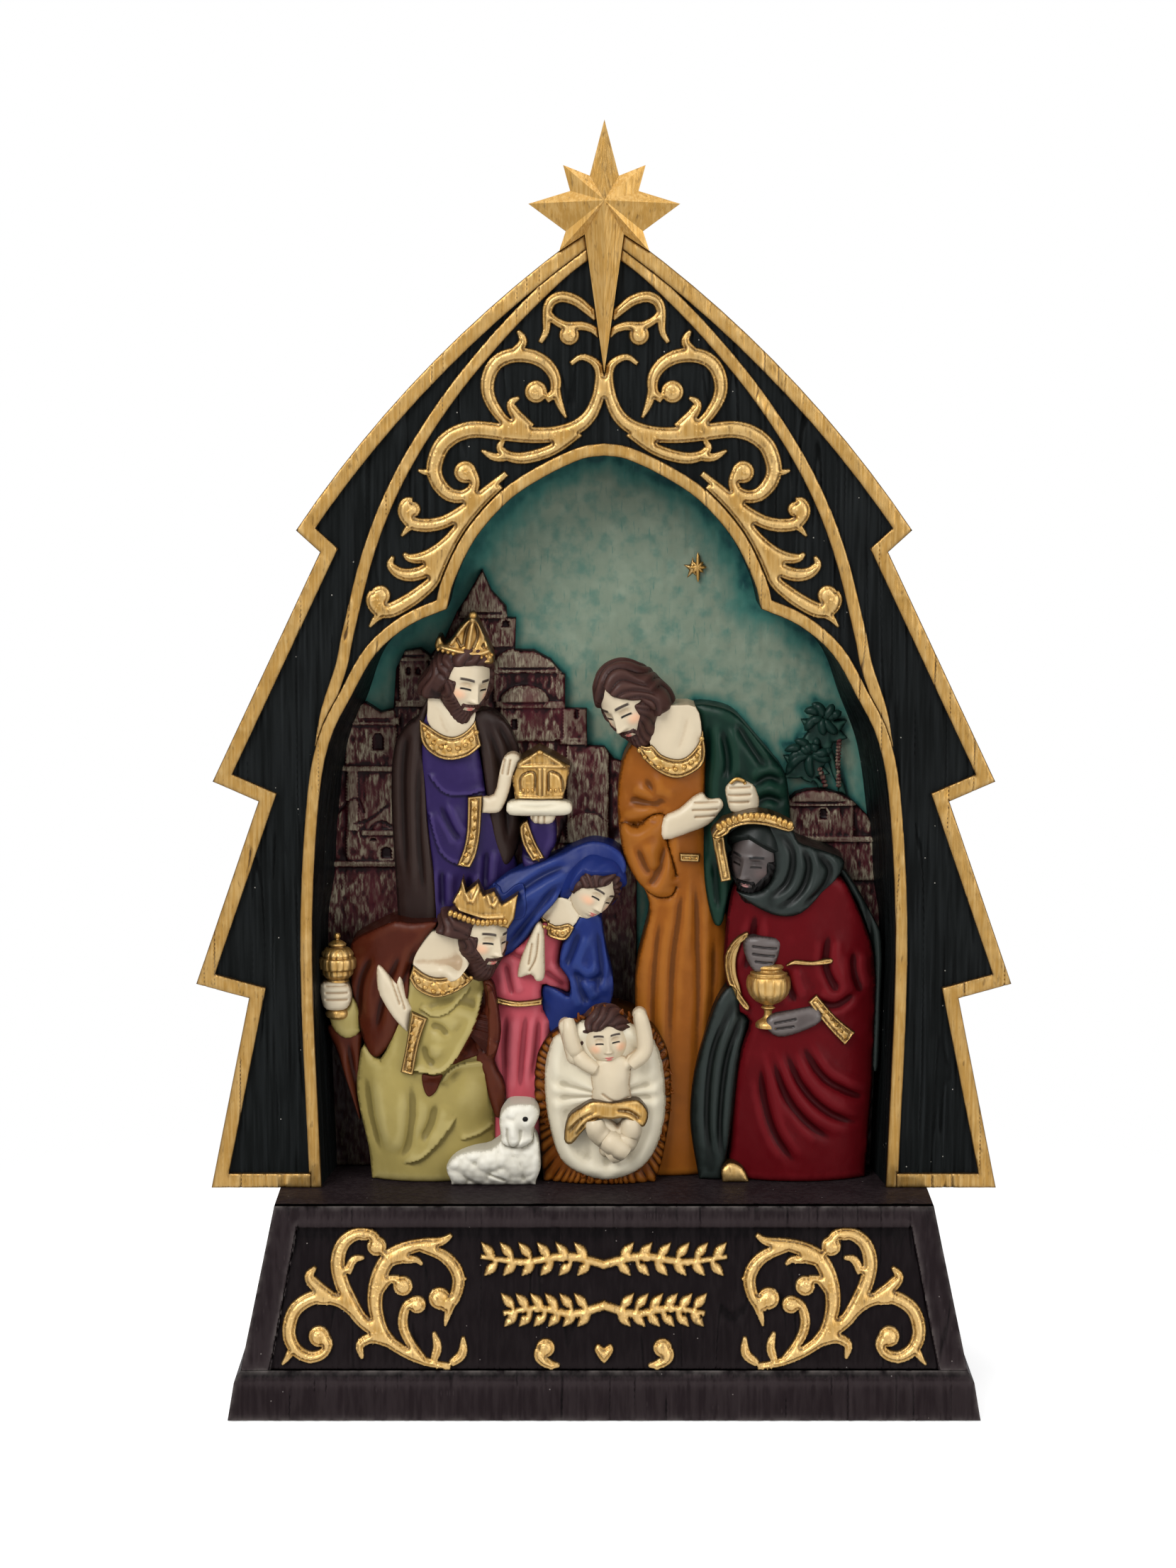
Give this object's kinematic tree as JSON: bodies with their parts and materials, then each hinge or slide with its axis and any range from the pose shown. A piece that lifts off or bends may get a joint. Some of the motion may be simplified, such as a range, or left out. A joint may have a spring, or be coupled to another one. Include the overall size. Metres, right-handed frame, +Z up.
{
  "type": "nativity tree figurine",
  "caption": "Fir-shaped niche frame with gold scroll tracery and a star on top, on a sloped plinth, holding a carved and painted nativity scene.",
  "frame": {"origin": "middle of the plinth's underside", "axes": "+Z up, the scene faces -Y, +X to the viewer's right"},
  "size_m": [0.1676, 0.066, 0.26],
  "materials": {
    "plinth_black": "satin brown-black paint with fine vertical grain",
    "frame_black": "satin black paint over carved vertical wood grain",
    "gold_paint": "brushed antique gold paint with brown wash in the hollows",
    "sky_paint": "sponged grey-green sky darkening to teal at the edge",
    "town_paint": "maroon with grey dry-brushed stone",
    "palm_paint": "dark teal green",
    "skin_paint": "ivory with peach blush",
    "dark_skin_paint": "dark grey-brown",
    "black_paint": "black",
    "hair_paint": "dark brown",
    "purple_paint": "satin purple",
    "brown_paint": "dark brown",
    "ochre_paint": "ochre with brown wash in the folds",
    "green_paint": "dark green",
    "blue_paint": "deep blue",
    "rose_paint": "rose",
    "olive_paint": "olive",
    "russet_paint": "red-brown",
    "crimson_paint": "crimson",
    "slate_paint": "near-black green",
    "straw_paint": "brown straw with dark wash",
    "linen_paint": "off-white with grey creases",
    "wool_paint": "white wool with grey hollows"
  },
  "bodies": {
    "root": {"plinth_foot": "plinth_black", "plinth_body": "plinth_black", "panel_scrolls": "gold_paint", "panel_garland": "gold_paint", "tree_frame": "frame_black", "outer_border": "gold_paint", "ogive_rim": "gold_paint", "trefoil_rim": "gold_paint", "tracery": "gold_paint", "crest_scrolls": "gold_paint", "star_topper": "gold_paint", "sky_panel": "sky_paint", "sky_star": "gold_paint", "town": "town_paint", "palm_trees": "palm_paint", "standing_king_robe": "purple_paint", "standing_king_cloak": "brown_paint", "standing_king_head": "skin_paint", "standing_king_hair": "hair_paint", "standing_king_crown": "gold_paint", "standing_king_trim": "gold_paint", "standing_king_hands": "skin_paint", "chest_cushion": "linen_paint", "gift_chest": "gold_paint", "father_robe": "ochre_paint", "father_cloak": "green_paint", "father_head": "skin_paint", "father_hair": "hair_paint", "father_trim": "gold_paint", "father_hands": "skin_paint", "mother_veil": "blue_paint", "mother_dress": "rose_paint", "mother_head": "skin_paint", "mother_hair": "hair_paint", "mother_trim": "gold_paint", "mother_hands": "skin_paint", "kneeling_king_robe": "olive_paint", "kneeling_king_cloak": "russet_paint", "kneeling_king_head": "skin_paint", "kneeling_king_hair": "hair_paint", "kneeling_king_crown": "gold_paint", "kneeling_king_trim": "gold_paint", "kneeling_king_hands": "skin_paint", "censer": "gold_paint", "scarfed_king_robe": "crimson_paint", "scarfed_king_cloak": "slate_paint", "scarfed_king_scarf": "slate_paint", "scarfed_king_head": "dark_skin_paint", "scarfed_king_beard": "black_paint", "scarfed_king_band": "gold_paint", "scarfed_king_trim": "gold_paint", "scarfed_king_hands": "dark_skin_paint", "scarfed_king_shoe": "black_paint", "goblet": "gold_paint", "crib_straw": "straw_paint", "crib_cloth": "linen_paint", "infant": "skin_paint", "infant_hair": "hair_paint", "swaddle": "gold_paint", "lamb": "wool_paint"}
  },
  "joints": []
}
